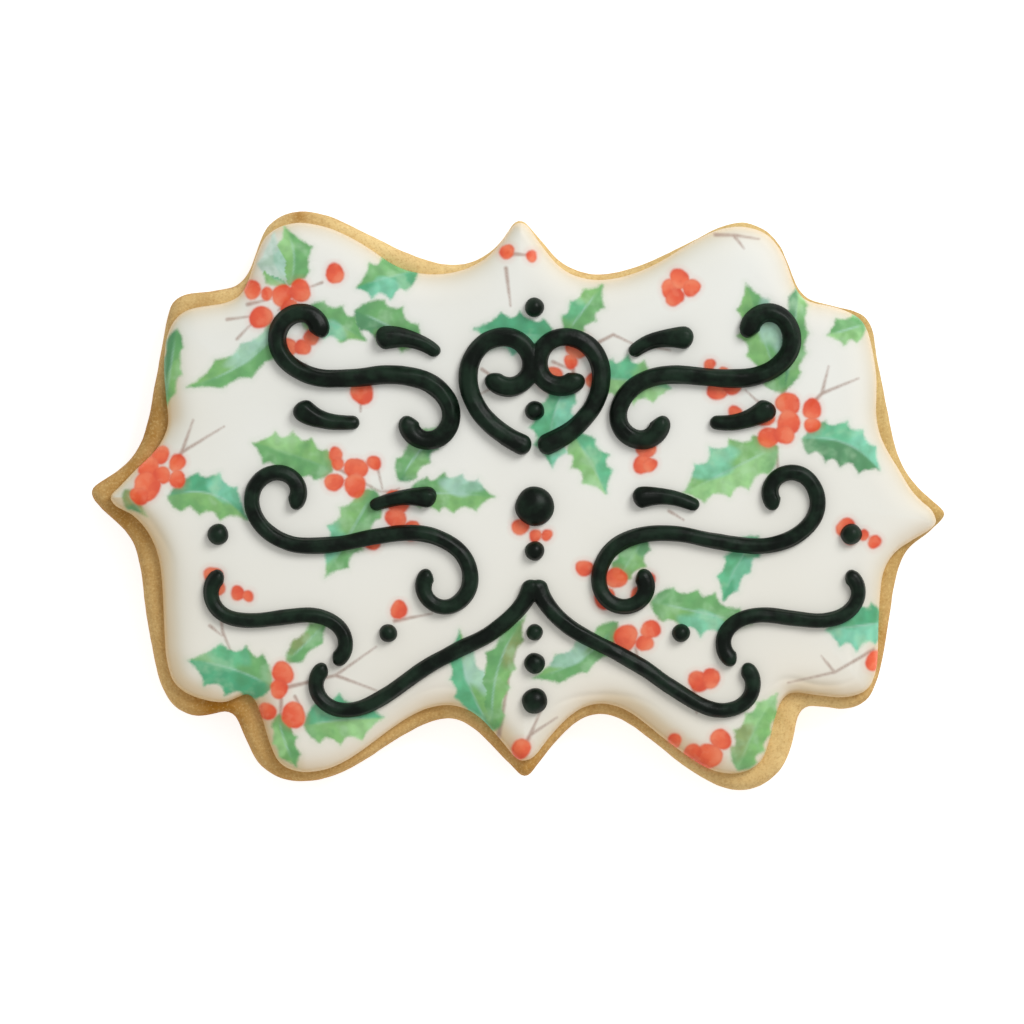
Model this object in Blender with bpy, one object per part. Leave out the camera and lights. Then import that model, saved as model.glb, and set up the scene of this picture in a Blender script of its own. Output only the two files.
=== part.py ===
"""Iced sugar cookie: a plaque-shaped biscuit, a flooded icing layer and piped scrollwork.

The biscuit lies flat with its iced side up. Its origin is under the middle of its outline,
+X runs along its length, +Y across it, and +Z points up out of the icing. The shapes are
worked out in millimetres, and the meshes are written in metres.
"""
import bmesh
import bpy
import math
import numpy as np
from mathutils.geometry import delaunay_2d_cdt

MM = 0.001

# Heights, in millimetres.
GAP = 0.3                   # between pieces that rest on each other
BISCUIT_THICKNESS = 7.0
BISCUIT_WIDEST = 4.4        # height at which the side stands out most
BISCUIT_SHOULDER = 2.1      # how far in from the outline the top rounds over
ICING_THICKNESS = 1.9
ICING_WIDEST = 0.5          # height of the icing's bulge above its underside
ICING_ROLL = 4.2            # how far in from its edge the icing rises to its full height
PIPING_BASE = BISCUIT_THICKNESS + GAP + ICING_THICKNESS + GAP
PIPING_FLATNESS = 0.56      # height of a piped line over its width
PIPING_TUCK = 25.0          # degrees below the widest line at which a piped line meets the icing
SMALLEST_DOT_HEIGHT = 1.0   # a dot is this high, and more by a share of its radius
DOT_RISE = 0.35

# How finely the shapes are cut.
TURN_PER_SIDE = 15.0        # degrees of turn along an outline for each straight side
LONGEST_SIDE = 3.6
STROKE_STEP = 3.4           # longest step along a piped line
STROKE_TURN = 34.0          # degrees of turn along a piped line for each step
STROKE_TIPS = (0.1, 0.35, 0.8)  # sections round a stroke's tip, in half widths from its end
STROKE_SIDES = 7
FINE_STEP = 0.1
DOT_SIDES = 12

# A closed outline is a list of knots (x, y, heading): the curve passes each point in the
# direction of its heading, in degrees from +X, and runs anticlockwise.
BISCUIT_OUTLINE = (
    # right point
    (57.0, -1.85, 90), (56.5, -0.95, 129), (54.0, 1.25, 136), (51.3, 4.9, 117), (49.6, 11, 102),
    # upper right shoulder and lobe
    (48.0, 19, 102), (46.3, 24.6, 138), (43, 25.85, 163), (39.5, 26.75, 163), (37.3, 28.8, 117),
    (35.3, 33.6, 117), (29.6, 37.15, 180), (24, 35.15, 206), (18, 32.2, 203), (11, 30.3, 180),
    # top point
    (5.2, 32.4, 137), (1.9, 36.2, 136), (0.3, 37.4, 178), (-1.0, 36.6, 237), (-3.6, 33.4, 220),
    # upper left lobe and shoulder
    (-9.3, 31.55, 177), (-12.4, 32.25, 161), (-15.5, 33.4, 155), (-22, 36.6, 155), (-28.7, 38.75, 180),
    (-34.1, 35.6, 243), (-35.75, 31.1, 248), (-38.3, 28.5, 196), (-43.5, 27.75, 187),
    (-46.4, 25.9, 249), (-48.05, 18, 257),
    # left point
    (-50.3, 8, 249), (-53.2, 4.25, 219), (-56.3, 2.2, 215), (-57.0, 1.05, 270), (-56.6, 0.0, 304),
    (-54.0, -2.6, 315), (-51.3, -6.0, 292),
    # lower left shoulder and lobe
    (-50.0, -13, 278), (-48.9, -19.6, 281), (-46.7, -26.6, 303), (-42.3, -28.85, 0),
    (-39.3, -28.3, 6), (-37.5, -29.3, 298), (-34.8, -34.9, 309), (-29, -37.55, 0),
    (-20, -34.5, 33), (-14.5, -31.0, 28), (-9.3, -29.2, 0),
    # bottom point
    (-4.6, -31.7, 315), (-0.5, -35.9, 315), (0.9, -36.85, 0), (2.3, -35.75, 54), (4.8, -32.6, 49),
    # lower right lobe and shoulder
    (11, -28.6, 0), (17, -31.5, 323), (23, -36.1, 327), (29.6, -38.75, 0), (35.6, -35.3, 58),
    (37.0, -31.0, 78), (38.9, -27.6, 9), (43.0, -27.95, 0), (47.3, -25.7, 63),
    (49.2, -18.5, 79), (50.5, -10.5, 78), (52.8, -5.85, 40), (56.3, -2.95, 50),
)

# The icing was flooded a little off centre, so it leaves an uneven rim.
ICING_OUTLINE = (
    # right point
    (55.7, -2.7, 90), (52.5, 1.3, 121), (48.9, 7.3, 117), (47.85, 11.5, 93),
    # upper right shoulder and lobe
    (47.9, 16.5, 96), (46.9, 21.8, 107), (45.2, 24.5, 145), (41, 26.05, 168), (38.0, 26.9, 140),
    (36.2, 30.2, 108), (33.6, 34.9, 138), (29, 36.4, 180), (24, 34.8, 207), (17, 30.8, 202),
    (11, 29.3, 180),
    # top point
    (5.4, 31.2, 137), (1.8, 35.8, 125), (0.3, 36.9, 180), (-1.1, 36.0, 235), (-4.3, 32.2, 216),
    # upper left lobe and shoulder
    (-11, 30.05, 180), (-17, 31.6, 148), (-22, 34.8, 154), (-28.7, 36.9, 180),
    (-33.7, 34.8, 232), (-35.4, 30.6, 251), (-37.3, 27.0, 217), (-41, 25.9, 189),
    (-44.9, 24.7, 220), (-46.9, 20.5, 262), (-46.8, 14, 275),
    # left point
    (-46.5, 10.5, 265), (-48.6, 6.2, 228), (-52.8, 2.0, 232), (-54.1, 0.1, 290),
    (-51.3, -1.9, 325), (-48.5, -5.5, 297),
    # lower left shoulder and lobe
    (-47.4, -10, 276), (-46.95, -18, 274), (-46.0, -23.6, 295), (-42, -26.4, 345),
    (-38.8, -26.75, 8), (-36.1, -25.75, 355), (-34.6, -27.3, 293), (-32.2, -34.1, 298),
    (-28, -36.1, 0), (-21, -33.4, 35), (-14.5, -28.8, 30), (-9.5, -27.2, 0),
    # bottom point
    (-4.6, -29.3, 315), (-1.5, -32.8, 310), (0.7, -34.6, 0), (3.9, -31.8, 50),
    # lower right lobe and shoulder
    (11, -27.0, 0), (17, -29.7, 320), (23, -34.3, 325), (28.3, -36.3, 0), (32.6, -34.1, 62),
    (34.0, -29.5, 75), (36.8, -25.55, 0), (42.5, -26.2, 0), (47.0, -24.4, 60),
    (47.95, -20, 88), (48.4, -11, 84), (50.7, -6.6, 38), (54.4, -4.3, 33),
)

# The scrollwork is the same on both sides of a line across the cookie.
MIRROR_LINE = 2.2

# A stroke is (x, y, heading, where, length, widths, bends). Its bends are its curvature in
# degrees for each millimetre, at even steps along it, `where` is the fraction of its length
# that lies at (x, y), and its widths are those at its two ends. x is measured to the right
# of the mirror line.
HEART = (0.5, 6.9, 22, 0.0, 35, (2.5, 2.5), (2, 5, 9, 14, 18, 23))
LEG = (0.2, -10.5, -80, 0.0, 40, (2.2, 2.0), (8, 4, 0, -2, 3, 14, 25))
PAIRS = {
    "scroll_upper": (22.6, 16.4, -6, 0.5, 48, (2.5, 2.4), (-26, -17, -7, 0, 7, 17, 26)),
    "scroll_middle": (23.0, -5.2, -12, 0.5, 60, (2.1, 2.1), (-26, -15, -6, 0, 6, 15, 26)),
    "scroll_lower": (34.0, -15.6, -8, 0.5, 28, (2.0, 2.0), (-27, -15, -3, 3, 15, 27)),
    "drop_upper": (16.6, 21.4, 12, 0.5, 9, (1.5, 2.9), (-9, -3)),
    "drop_outer": (27.7, 10.6, 14, 0.5, 9, (1.5, 2.9), (3, 9)),
    "drop_middle": (17.5, 0.4, -8, 0.5, 9, (2.7, 1.4), (-6, -2)),
}

# Dots are (x, y, radius). Those off the mirror line come in pairs.
DOTS = {
    "dot_top": (0, 25.6, 1.3),
    "dot_heart": (0, 11.9, 1.3),
    "dot_centre": (0, -0.8, 2.6),
    "dot_under_centre": (0, -6.7, 1.3),
    "dot_low_1": (0, -17.5, 1.1),
    "dot_low_2": (0, -21.6, 1.4),
    "dot_low_3": (0, -26.6, 1.7),
    "dot_side": (42.0, -4.5, 1.4),
    "dot_between": (19.4, -17.6, 1.2),
}


def srgb(red, green, blue):
    """Linear colour of an 8-bit sRGB one, with full alpha."""
    return tuple((c / 255.0) ** 2.2 for c in (red, green, blue)) + (1.0,)


def make_material(name, colour, roughness):
    material = bpy.data.materials.new(name)
    material.use_nodes = True
    shader = material.node_tree.nodes["Principled BSDF"]
    shader.inputs["Base Color"].default_value = colour
    shader.inputs["Roughness"].default_value = roughness
    shader.inputs["Metallic"].default_value = 0.0
    material.diffuse_color = colour
    return material


def heading_vector(degrees):
    angle = math.radians(degrees)
    return np.array((math.cos(angle), math.sin(angle)))


def closed_curve(knots):
    """Points along the smooth closed curve through the knots."""
    points = []
    for index, (x, y, heading) in enumerate(knots):
        next_x, next_y, next_heading = knots[(index + 1) % len(knots)]
        start = np.array((x, y), float)
        end = np.array((next_x, next_y), float)
        chord = np.linalg.norm(end - start)
        turn = (next_heading - heading + 180) % 360 - 180
        reach = chord / (3 * math.cos(math.radians(turn) / 4) ** 2)
        first = start + reach * heading_vector(heading)
        second = end - reach * heading_vector(next_heading)
        sides = max(1, math.ceil(abs(turn) / TURN_PER_SIDE), math.ceil(chord / LONGEST_SIDE))
        for side in range(sides):
            t = side / sides
            points.append((1 - t) ** 3 * start + 3 * (1 - t) ** 2 * t * first
                          + 3 * (1 - t) * t ** 2 * second + t ** 3 * end)
    return np.array(points)


def inset(points, distance):
    """The closed anticlockwise outline moved inwards at right angles to itself."""
    along = np.roll(points, -1, axis=0) - np.roll(points, 1, axis=0)
    along /= np.linalg.norm(along, axis=1)[:, None]
    inwards = np.stack((-along[:, 1], along[:, 0]), axis=1)
    return points + distance * inwards


def distance_to_outline(points, outline):
    """Each point's distance to the nearest side of the closed outline."""
    side = np.roll(outline, -1, axis=0) - outline
    offset = points[:, None] - outline[None]
    along = np.clip((offset * side).sum(2) / (side ** 2).sum(1), 0, 1)
    return np.linalg.norm(offset - along[:, :, None] * side, axis=2).min(axis=1)


def rounded_rise(distance, reach, rise):
    """Height above the widest line at a distance in from the outline: a quarter ellipse."""
    t = np.clip(distance / reach, 0, 1)
    return rise * np.sqrt(1 - (1 - t) ** 2)


def build_slab(name, knots, sides, rows, reach, rise):
    """A flat-bottomed slab with a rounded top.

    sides are (inset, height) rings from the underside up to the widest one, at the outline
    itself. Inside it the top rises by a quarter ellipse, on rows of points at the given
    fractions of its reach.
    """
    outline = closed_curve(knots)
    count = len(outline)
    bm = bmesh.new()
    rings = []
    for distance, height in sides:
        ring = inset(outline, distance)
        rings.append([bm.verts.new((x * MM, y * MM, height * MM)) for x, y in ring])
    bm.faces.new(reversed(rings[0]))
    for lower, upper in zip(rings, rings[1:]):
        for i in range(count):
            j = (i + 1) % count
            bm.faces.new((lower[i], lower[j], upper[j], upper[i]))

    inner = []
    for row in rows:
        distance = row * reach
        candidates = inset(outline, distance)
        free = distance_to_outline(candidates, outline) > 0.96 * distance
        inner.append(candidates[free])
    plan = np.concatenate([outline] + inner)
    plan_xy, _, triangles, originals, _, _ = delaunay_2d_cdt(
        [tuple(p) for p in plan], [], [list(range(count))], 1, 1e-6)
    plan_points = np.array([tuple(p) for p in plan_xy])
    widest = sides[-1][1]
    heights = widest + rounded_rise(distance_to_outline(plan_points, outline), reach, rise)
    verts = []
    for point, height, sources in zip(plan_points, heights, originals):
        on_outline = [s for s in sources if s < count]
        if on_outline:
            verts.append(rings[-1][on_outline[0]])
        else:
            verts.append(bm.verts.new((point[0] * MM, point[1] * MM, height * MM)))
    for triangle in triangles:
        bm.faces.new([verts[i] for i in triangle])
    return finish_mesh(name, bm)


def finish_mesh(name, bm):
    """Faces outwards, smooth except at real edges, and linked to the scene."""
    bmesh.ops.recalc_face_normals(bm, faces=bm.faces)
    mesh = bpy.data.meshes.new(name)
    bm.to_mesh(mesh)
    bm.free()
    mesh.shade_smooth()
    mesh.set_sharp_from_angle(angle=math.radians(50))
    piece = bpy.data.objects.new(name, mesh)
    bpy.context.collection.objects.link(piece)
    return piece


def stroke_path(x, y, heading, where, length, bends):
    """A fine path whose curvature changes evenly between its bends.

    It returns the travelled length, the curvature, the points and the headings in radians.
    """
    steps = math.ceil(length / FINE_STEP)
    travelled = np.linspace(0, length, steps + 1)
    curvature = np.interp(travelled / length, np.linspace(0, 1, len(bends)), bends)
    turned = (curvature[1:] + curvature[:-1]) / 2 * (length / steps)
    headings = np.concatenate(([0.0], np.cumsum(turned)))
    headings = np.radians(headings + heading - np.interp(where * length, travelled, headings))
    middles = (headings[1:] + headings[:-1]) / 2
    moves = np.stack((np.cos(middles), np.sin(middles)), axis=1) * (length / steps)
    path = np.concatenate((np.zeros((1, 2)), np.cumsum(moves, axis=0)))
    anchor = [np.interp(where * length, travelled, path[:, axis]) for axis in (0, 1)]
    return travelled, curvature, path - anchor + (x, y), headings


def stroke_stations(travelled, curvature, widths):
    """Where along a stroke its sections lie: closer where it bends, and round its tips."""
    density = 1 / STROKE_STEP + np.abs(curvature) / STROKE_TURN
    share = np.concatenate(([0.0], np.cumsum((density[1:] + density[:-1]) / 2 * travelled[1])))
    wanted = np.linspace(0, share[-1], math.ceil(share[-1]) + 1)
    length = travelled[-1]
    body = np.interp(wanted[1:-1], share, travelled)
    body = body[(body > 0.8 * widths[0]) & (body < length - 0.8 * widths[1])]
    start = [tip * widths[0] / 2 for tip in STROKE_TIPS]
    end = [length - tip * widths[1] / 2 for tip in reversed(STROKE_TIPS)]
    return start + list(body) + end


def section_scale(distance, width):
    """Size of a stroke's section against its full one, this far in from the nearer end.

    A round tip, then a soft bulb where the bag was pressed before it moved.
    """
    radius = width / 2
    tip = math.sqrt(max(0.0, 1 - (1 - min(distance / radius, 1)) ** 2))
    bulb = 1 + 0.16 * math.exp(-((distance - radius) / width) ** 2)
    return tip * bulb


def stroke_section(centre, direction, width, scale):
    """The rounded section of a piped line, flat where it lies on the icing."""
    tuck = math.radians(PIPING_TUCK)
    half_height = width * PIPING_FLATNESS / (1 + math.sin(tuck))
    across = np.array((-math.sin(direction), math.cos(direction)))
    points = []
    for i in range(STROKE_SIDES):
        angle = -tuck + (math.pi + 2 * tuck) * i / (STROKE_SIDES - 1)
        x, y = centre + across * (width / 2 * scale * math.cos(angle))
        z = scale ** 0.5 * half_height * (math.sin(angle) + math.sin(tuck))
        points.append((x * MM, y * MM, z * MM))
    return points


def build_stroke(name, stroke, side):
    """A piped line with round ends. side is 1 on the right and -1 on the left."""
    x, y, heading, where, length, widths, bends = stroke
    travelled, curvature, path, headings = stroke_path(x, y, heading, where, length, bends)
    bm = bmesh.new()
    rings = []
    for station in stroke_stations(travelled, curvature, widths):
        centre = np.array([np.interp(station, travelled, path[:, axis]) for axis in (0, 1)])
        direction = np.interp(station, travelled, headings)
        width = np.interp(station, (0, length), widths)
        scale = section_scale(min(station, length - station), width)
        section = stroke_section(centre, direction, width, scale)
        rings.append([bm.verts.new((side * px, py, pz)) for px, py, pz in section])
    for first, second in zip(rings, rings[1:]):
        for i in range(STROKE_SIDES):
            j = (i + 1) % STROKE_SIDES
            bm.faces.new((first[i], first[j], second[j], second[i]))
    bm.faces.new(rings[0])
    bm.faces.new(rings[-1])
    bmesh.ops.triangulate(bm, faces=bm.faces)
    return finish_mesh(name, bm)


def build_dot(name, radius):
    """A piped dot: a flattened ball cut off where it lies on the icing."""
    tuck = math.radians(PIPING_TUCK)
    half_height = (SMALLEST_DOT_HEIGHT + DOT_RISE * radius) / (1 + math.sin(tuck))
    bm = bmesh.new()
    bmesh.ops.create_uvsphere(bm, u_segments=DOT_SIDES, v_segments=6, radius=radius * MM)
    bmesh.ops.scale(bm, vec=(1, 1, half_height / radius), verts=bm.verts)
    bmesh.ops.translate(bm, vec=(0, 0, half_height * math.sin(tuck) * MM), verts=bm.verts)
    everything = bm.verts[:] + bm.edges[:] + bm.faces[:]
    cut = bmesh.ops.bisect_plane(bm, geom=everything, dist=1e-7, plane_co=(0, 0, 0),
                                 plane_no=(0, 0, -1), clear_outer=True)
    rim = [e for e in cut["geom_cut"] if isinstance(e, bmesh.types.BMEdge)]
    bmesh.ops.contextual_create(bm, geom=rim)
    return finish_mesh(name, bm)


def place(piece, material, cookie, location):
    """Give a piece its finish and its place under the cookie's empty."""
    piece.data.materials.append(material)
    piece.parent = cookie
    piece.location = [coordinate * MM for coordinate in location]


def join_by_union(piece, other):
    """Make one closed body of two pieces that run into each other."""
    other.hide_render = True
    other.display_type = "WIRE"
    union = piece.modifiers.new("Run together", "BOOLEAN")
    union.operation = "UNION"
    union.solver = "EXACT"
    union.object = other


def build_biscuit(cookie):
    sides = ((0.7, 0.0), (0.2, 0.6), (0.0, BISCUIT_WIDEST))
    biscuit = build_slab("biscuit", BISCUIT_OUTLINE, sides, (0.16, 0.5, 1.0),
                         BISCUIT_SHOULDER, BISCUIT_THICKNESS - BISCUIT_WIDEST)
    material = make_material("baked dough", srgb(207, 163, 99), 0.8)
    place(biscuit, material, cookie, (0, 0, 0))


def build_icing(cookie):
    sides = ((0.4, 0.0), (0.0, ICING_WIDEST))
    icing = build_slab("icing", ICING_OUTLINE, sides, (0.1, 0.32, 0.62, 1.0),
                       ICING_ROLL, ICING_THICKNESS - ICING_WIDEST)
    material = make_material("white royal icing", srgb(238, 237, 228), 0.45)
    place(icing, material, cookie, (0, 0, BISCUIT_THICKNESS + GAP))


def build_piping(cookie):
    material = make_material("dark green royal icing", srgb(22, 33, 29), 0.4)
    origin = (MIRROR_LINE, 0, PIPING_BASE)
    for name, stroke in (("scroll_heart", HEART), ("scroll_legs", LEG)):
        right = build_stroke(name, stroke, 1)
        left = build_stroke(name + "_cutter", stroke, -1)
        place(right, material, cookie, origin)
        place(left, material, cookie, origin)
        join_by_union(right, left)
    for name, stroke in PAIRS.items():
        for side, word in ((1, "right"), (-1, "left")):
            place(build_stroke(f"{name}_{word}", stroke, side), material, cookie, origin)
    for name, (x, y, radius) in DOTS.items():
        sides = ((1, "_right"), (-1, "_left")) if x else ((1, ""),)
        for side, word in sides:
            location = (MIRROR_LINE + side * x, y, PIPING_BASE)
            place(build_dot(name + word, radius), material, cookie, location)


def main():
    for piece in list(bpy.data.objects):
        bpy.data.objects.remove(piece)
    cookie = bpy.data.objects.new("iced_cookie", None)
    bpy.context.collection.objects.link(cookie)
    build_biscuit(cookie)
    build_icing(cookie)
    build_piping(cookie)


main()
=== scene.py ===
"""Iced sugar cookie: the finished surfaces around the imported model.

Every length is in millimetres until it goes into a mesh, which is in metres. The outlines
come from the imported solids; the piping repeats the strokes of the CAD model.
"""
import math

import bpy
import numpy as np
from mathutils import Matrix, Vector, noise
from mathutils.geometry import delaunay_2d_cdt
from mathutils.kdtree import KDTree


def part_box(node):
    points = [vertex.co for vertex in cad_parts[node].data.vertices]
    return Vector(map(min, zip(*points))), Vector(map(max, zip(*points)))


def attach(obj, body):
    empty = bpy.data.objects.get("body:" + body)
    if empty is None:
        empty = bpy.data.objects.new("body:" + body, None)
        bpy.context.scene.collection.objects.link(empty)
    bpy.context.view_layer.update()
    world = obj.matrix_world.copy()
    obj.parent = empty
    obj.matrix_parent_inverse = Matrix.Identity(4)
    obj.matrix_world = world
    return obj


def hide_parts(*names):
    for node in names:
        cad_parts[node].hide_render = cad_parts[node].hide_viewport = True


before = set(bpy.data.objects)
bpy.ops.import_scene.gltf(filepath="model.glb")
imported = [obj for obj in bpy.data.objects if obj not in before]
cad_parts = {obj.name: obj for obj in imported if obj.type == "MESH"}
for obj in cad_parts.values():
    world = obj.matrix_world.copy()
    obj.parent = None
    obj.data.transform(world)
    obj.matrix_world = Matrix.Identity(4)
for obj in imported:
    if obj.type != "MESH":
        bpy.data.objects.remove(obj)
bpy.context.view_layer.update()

MM = 0.001

# ---------------------------------------------------------------- sizes, in millimetres

def top_of(node):
    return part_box(node)[1].z / MM


GAP = 0.3  # left between the CAD solids, closed here
BISCUIT_TOP = top_of("biscuit")
BISCUIT_WIDEST = 4.4
BISCUIT_SHOULDER = 2.1
BISCUIT_FOOT = 0.75  # how far in the underside's edge is
BISCUIT_FOOT_HEIGHT = 1.5
ICING_TOP = top_of("icing")
ICING_WIDEST = 0.8  # above the biscuit
ICING_ROLL = 4.2
ICING_FOOT = 0.45  # how far in the icing's lower edge is
ICING_SINK = 0.08  # how far the icing's foot is in the biscuit
ICING_LOW_SPACING = 3.0  # mesh spacing of its underside, which never shows
ICING_LOW_MARGIN = 2.0
PIPING_BASE = ICING_TOP - 0.12
PIPING_HEIGHT = 0.56  # of a CAD line, over its width
PIPING_SINK = GAP + 0.12  # how much taller the shown line is, downwards

FINE = 0.25  # mesh spacing inside the print
COARSE = 0.42  # and elsewhere on the icing


def srgb(red, green, blue):
    """Linear colour of an 8-bit sRGB one."""
    values = np.array((red, green, blue)) / 255.0
    linear = np.where(values <= 0.04045, values / 12.92, ((values + 0.055) / 1.055) ** 2.4)
    return tuple(linear)


# ---------------------------------------------------------------- the print on the icing

GREENS = {
    "grass": srgb(128, 188, 108),
    "leaf": srgb(108, 176, 104),
    "forest": srgb(78, 146, 96),
    "light": srgb(158, 214, 140),
    "teal": srgb(96, 192, 142),
    "sea": srgb(72, 172, 124),
    "mint": srgb(128, 212, 178),
    "pale": srgb(172, 216, 198),
    "mist": srgb(206, 226, 214),
    "olive": srgb(138, 156, 92),
}

# (base, tip, width, spines on each side, bend, left, right and pooled paint)
LEAVES = (
    # upper left
    ((-30.5, 28.4), (-32.4, 35.6), 4.6, 1, 0.10, "mist", "mist", "pale"),
    ((-30.4, 28.4), (-31.1, 36.4), 5.4, 2, -0.13, "grass", "leaf", "light"),
    ((-30.5, 28.4), (-34.2, 31.0), 2.4, 1, 0.04, "grass", "leaf", "sea"),
    ((-30.6, 23.8), (-44.0, 15.0), 4.6, 3, 0.09, "leaf", "grass", "pale"),
    ((-28.8, 24.8), (-20.2, 21.2), 4.8, 3, 0.06, "leaf", "grass", "mint"),
    ((-21.6, 25.2), (-12.2, 20.4), 6.0, 3, 0.02, "leaf", "forest", "grass"),
    ((-13.4, 30.4), (-21.4, 28.2), 5.6, 3, -0.03, "sea", "leaf", "mint"),
    ((-45.3, 22.8), (-47.0, 12.0), 3.2, 3, 0.00, "leaf", "forest", "grass"),
    # left point
    ((-46.4, 0.6), (-35.8, -2.6), 5.8, 3, 0.17, "sea", "grass", "mint"),
    ((-52.2, 1.4), (-49.2, -2.1), 2.6, 1, -0.05, "olive", "olive", "forest"),
    # centre left
    ((-24.6, 4.0), (-35.2, 7.6), 5.9, 4, -0.02, "leaf", "grass", "light"),
    ((-15.8, 2.6), (-10.2, 9.8), 4.2, 3, 0.03, "leaf", "forest", "grass"),
    ((-14.6, 0.9), (-3.2, 0.5), 5.4, 4, 0.02, "leaf", "grass", "pale"),
    ((-19.0, 1.4), (-25.6, -10.2), 6.0, 4, 0.00, "leaf", "grass", "mint"),
    # lower left
    ((-32.6, -24.8), (-43.8, -21.2), 7.2, 3, -0.06, "sea", "leaf", "teal"),
    ((-30.8, -21.4), (-25.0, -15.6), 3.2, 2, -0.02, "grass", "leaf", "olive"),
    ((-31.8, -28.4), (-29.4, -35.4), 3.4, 3, -0.05, "leaf", "grass", "light"),
    ((-28.4, -29.8), (-17.8, -28.8), 6.8, 3, 0.02, "teal", "light", "grass"),
    # bottom
    ((-3.4, -30.6), (-7.8, -17.2), 5.2, 4, 0.07, "teal", "grass", "pale"),
    ((-3.3, -30.6), (1.0, -15.2), 4.4, 4, 0.10, "leaf", "grass", "olive"),
    # lower middle
    ((13.2, -16.2), (1.8, -23.6), 4.4, 3, 0.10, "leaf", "grass", "pale"),
    ((17.6, -13.4), (31.0, -16.4), 5.8, 4, 0.00, "leaf", "grass", "mint"),
    ((13.2, -10.6), (17.4, -3.8), 4.2, 3, 0.00, "leaf", "grass", "forest"),
    ((31.8, -4.8), (27.2, -13.4), 4.4, 3, -0.06, "sea", "teal", "mint"),
    ((29.2, -35.8), (34.4, -25.6), 4.8, 4, 0.04, "light", "grass", "olive"),
    # right
    ((48.8, -16.2), (40.8, -17.2), 6.4, 3, 0.00, "mint", "sea", "teal"),
    ((34.4, 7.2), (21.8, 0.9), 7.4, 4, 0.00, "light", "grass", "mint"),
    ((37.8, 8.2), (48.0, 4.0), 6.2, 4, 0.14, "mint", "forest", "teal"),
    ((35.0, 14.2), (30.2, 28.8), 6.2, 4, 0.00, "grass", "leaf", "pale"),
    ((35.4, 14.8), (37.2, 29.0), 4.0, 4, -0.02, "forest", "grass", "leaf"),
    ((46.2, 23.4), (41.0, 21.9), 4.2, 2, 0.00, "light", "leaf", "grass"),
    # centre
    ((6.6, 15.4), (4.6, 4.4), 5.6, 4, -0.10, "mint", "sea", "teal"),
    ((7.4, 8.8), (11.7, 0.9), 5.0, 3, 0.02, "teal", "light", "grass"),
    ((10.2, 16.4), (20.4, 14.8), 6.4, 4, 0.02, "teal", "light", "grass"),
    ((4.8, 21.6), (-5.8, 22.8), 6.2, 3, 0.00, "teal", "sea", "mint"),
    ((6.4, 22.2), (11.2, 28.6), 4.4, 3, 0.00, "grass", "leaf", "teal"),
)

# (x, y, radius); a lower number is painted first
BERRIES = (
    # upper left
    (-35.3, 28.0, 1.3), (-33.3, 27.4, 0.9), (-34.1, 24.3, 1.6), (-31.3, 27.2, 1.5),
    (-28.9, 27.8, 1.55), (-30.2, 25.5, 1.3), (-24.3, 30.1, 1.35), (-30.8, 20.3, 1.5),
    (-28.6, 20.3, 1.15), (-27.4, 21.7, 1.15),
    # left point
    (-47.5, 6.0, 1.3), (-49.0, 4.3, 1.6), (-45.2, 5.0, 1.2), (-49.2, 1.9, 2.0),
    (-47.2, 3.4, 1.2), (-45.2, 2.8, 1.2), (-50.2, 0.6, 1.3),
    # centre left
    (-20.7, 14.4, 1.7), (-24.2, 6.1, 1.0), (-23.9, 4.9, 0.9), (-19.1, 5.0, 1.0),
    (-21.5, 4.2, 1.6), (-24.4, 2.4, 1.3), (-21.6, 2.0, 1.6), (-16.0, -0.2, 1.7),
    (-16.2, -2.4, 1.5), (-14.2, -4.0, 1.35), (-19.4, -5.5, 1.2), (-15.8, -14.5, 1.25),
    # lower left
    (-40.4, -10.0, 1.3), (-39.9, -11.7, 1.1), (-37.2, -12.3, 1.0), (-35.8, -12.7, 0.8),
    (-31.2, -22.9, 1.55), (-31.7, -25.0, 1.3), (-33.3, -28.0, 1.25), (-29.8, -28.5, 1.75),
    # bottom
    (0.4, -33.0, 1.4), (14.3, -18.2, 1.75), (16.8, -18.9, 1.2), (17.6, -17.1, 1.35),
    (24.0, -24.0, 1.5), (25.6, -23.6, 1.35), (20.8, -31.9, 1.0), (26.9, -31.7, 1.45),
    (25.2, -34.0, 1.9), (23.2, -33.4, 1.2),
    # lower middle
    (8.8, -9.0, 1.2), (13.0, -10.3, 1.5), (11.5, -13.0, 1.5), (17.0, -10.5, 1.2),
    (16.1, -12.6, 1.3), (0.3, -3.5, 1.2), (2.3, -4.7, 0.9), (3.8, -4.6, 0.8),
    # right
    (43.5, -3.6, 1.35), (44.0, -5.0, 0.9), (45.9, -4.6, 0.75), (47.3, -5.5, 0.95),
    (47.4, -21.3, 1.4), (35.8, 12.8, 1.65), (32.6, 11.2, 1.5), (39.0, 12.1, 1.4),
    (39.0, 10.0, 1.1), (35.9, 10.3, 1.7), (33.3, 8.4, 1.5), (35.3, 8.7, 1.4),
    (20.3, 28.0, 1.4), (21.4, 29.4, 1.4), (23.0, 28.2, 1.25), (20.8, 27.0, 1.3),
    (25.4, 18.0, 0.85), (27.3, 16.8, 0.9), (26.5, 14.7, 1.5), (28.3, 15.2, 1.35),
    (28.8, 11.7, 0.95), (17.0, 6.8, 1.35), (16.6, 4.8, 1.4), (17.5, 4.7, 1.0),
    # centre and top
    (4.3, 16.2, 1.7), (8.0, 20.4, 1.7), (7.0, 18.4, 1.0), (10.0, 16.0, 1.1),
    (-1.5, 33.0, 1.05), (1.8, 32.4, 0.8),
)

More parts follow.
